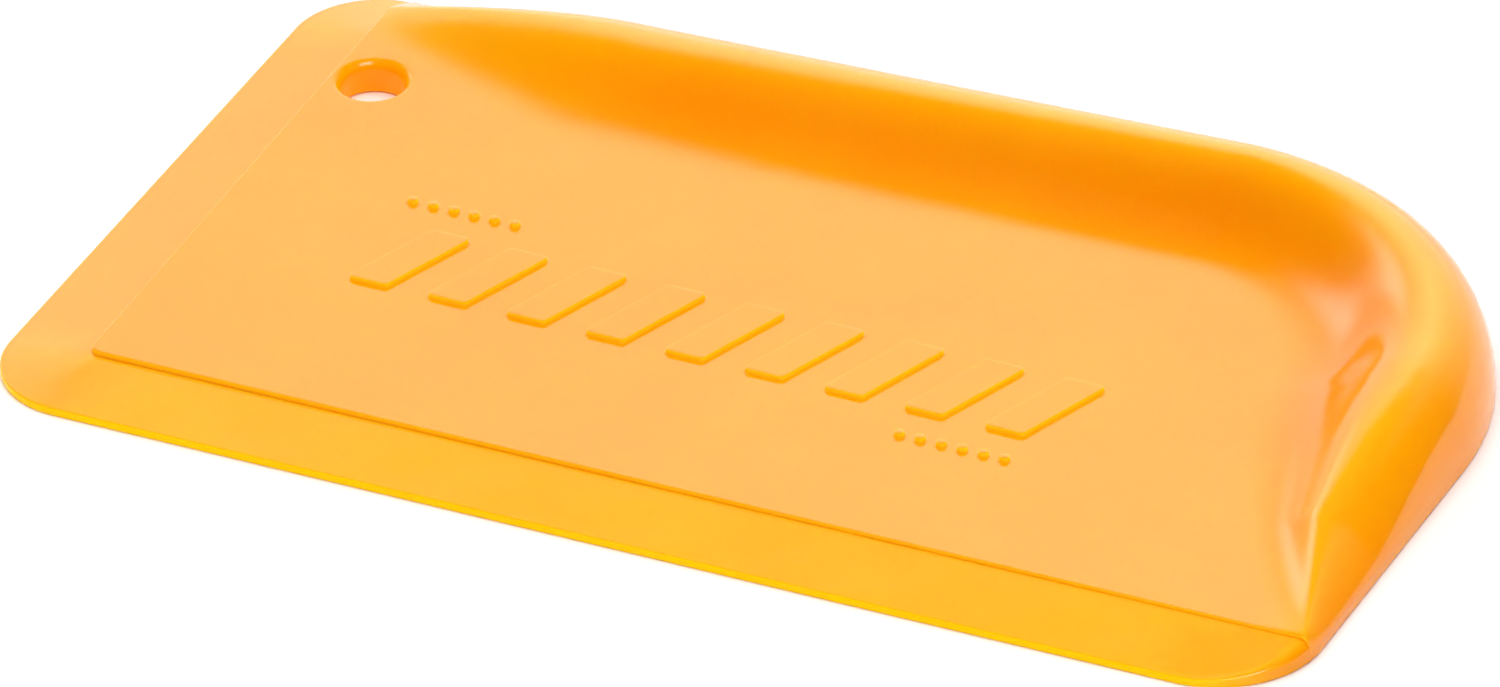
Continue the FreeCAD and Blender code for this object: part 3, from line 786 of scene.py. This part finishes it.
# and a second soft light patch to its left
GLOW_TURN = math.radians(40)        # from the backdrop's middle
GLOW_HALF_WIDTH = math.radians(17)
GLOW_STRENGTH = 2.6
GLOW_RISE_START, GLOW_RISE_END = 0.2, 0.4
GLOW_FADE_START, GLOW_FADE_END = 0.5, 0.78
across, away = math.cos(BACKDROP_AZIMUTH), math.sin(BACKDROP_AZIMUTH)
towards = calculate(
    "ADD",
    calculate("MULTIPLY", split.outputs["X"], across),
    calculate("MULTIPLY", split.outputs["Y"], away),
)
aside = calculate(
    "SUBTRACT",
    calculate("MULTIPLY", split.outputs["Y"], across),
    calculate("MULTIPLY", split.outputs["X"], away),
)
turn = calculate("ARCTAN2", aside, towards)
turn_away = calculate("ABSOLUTE", turn, 0.0)
sideways = band(turn_away, (0.0, BACKDROP_HALF_WIDTH, 1.0, 0.0), "LINEAR")
upward = band(split.outputs["Z"], (FADE_START, FADE_END, 1.0, 0.0))
backdrop = calculate("MULTIPLY", calculate("MULTIPLY", sideways, upward), BACKDROP_STRENGTH)
from_glow = calculate("ABSOLUTE", calculate("SUBTRACT", turn, GLOW_TURN), 0.0)
glow = calculate(
    "MULTIPLY",
    band(from_glow, (0.0, GLOW_HALF_WIDTH, GLOW_STRENGTH, 0.0)),
    calculate(
        "MULTIPLY",
        band(split.outputs["Z"], (GLOW_RISE_START, GLOW_RISE_END, 0.0, 1.0)),
        band(split.outputs["Z"], (GLOW_FADE_START, GLOW_FADE_END, 1.0, 0.0)),
    ),
)
strength = calculate("ADD", calculate("ADD", backdrop, glow), ROOM_STRENGTH)
wires.new(strength, sky["Background"].inputs[1])
sky["Background"].inputs[0].default_value = (1, 1, 1, 1)


def softbox(name, azimuth, elevation, distance, width, height, power, reflected=False):
    """A rectangular light that faces the part, azimuth counter-clockwise from +X."""
    light = bpy.data.lights.new(name, "AREA")
    light.shape = "RECTANGLE"
    light.size = width
    light.size_y = height
    light.energy = power
    lamp = bpy.data.objects.new(name, light)
    a, e = math.radians(azimuth), math.radians(elevation)
    way = Vector((math.cos(e) * math.cos(a), math.cos(e) * math.sin(a), math.sin(e)))
    lamp.location = way * distance
    lamp.rotation_euler = way.to_track_quat("Z", "Y").to_euler()
    lamp.visible_glossy = reflected
    lamp.visible_diffuse = not reflected
    bpy.context.scene.collection.objects.link(lamp)


softbox("top", 90, 85, 1.2, 1.0, 1.0, 14)
softbox("fill_right", -15, 22, 1.2, 0.8, 0.8, 5)
softbox("fill_front", -125, 25, 1.2, 0.8, 0.8, 3.2)
softbox("glint", -45, 45, 1.2, 0.7, 0.7, 20, reflected=True)

camera_data = bpy.data.cameras.new("camera")
camera_data.lens = 480.0
camera_data.clip_end = 20.0
camera = bpy.data.objects.new("camera", camera_data)
camera.location = (0.77183, -1.59134, 1.13131)
camera.rotation_euler = (math.radians(57.3771), math.radians(1.3363), math.radians(25.1630))
bpy.context.scene.collection.objects.link(camera)
bpy.context.scene.camera = camera
bpy.context.scene.view_settings.view_transform = "Standard"
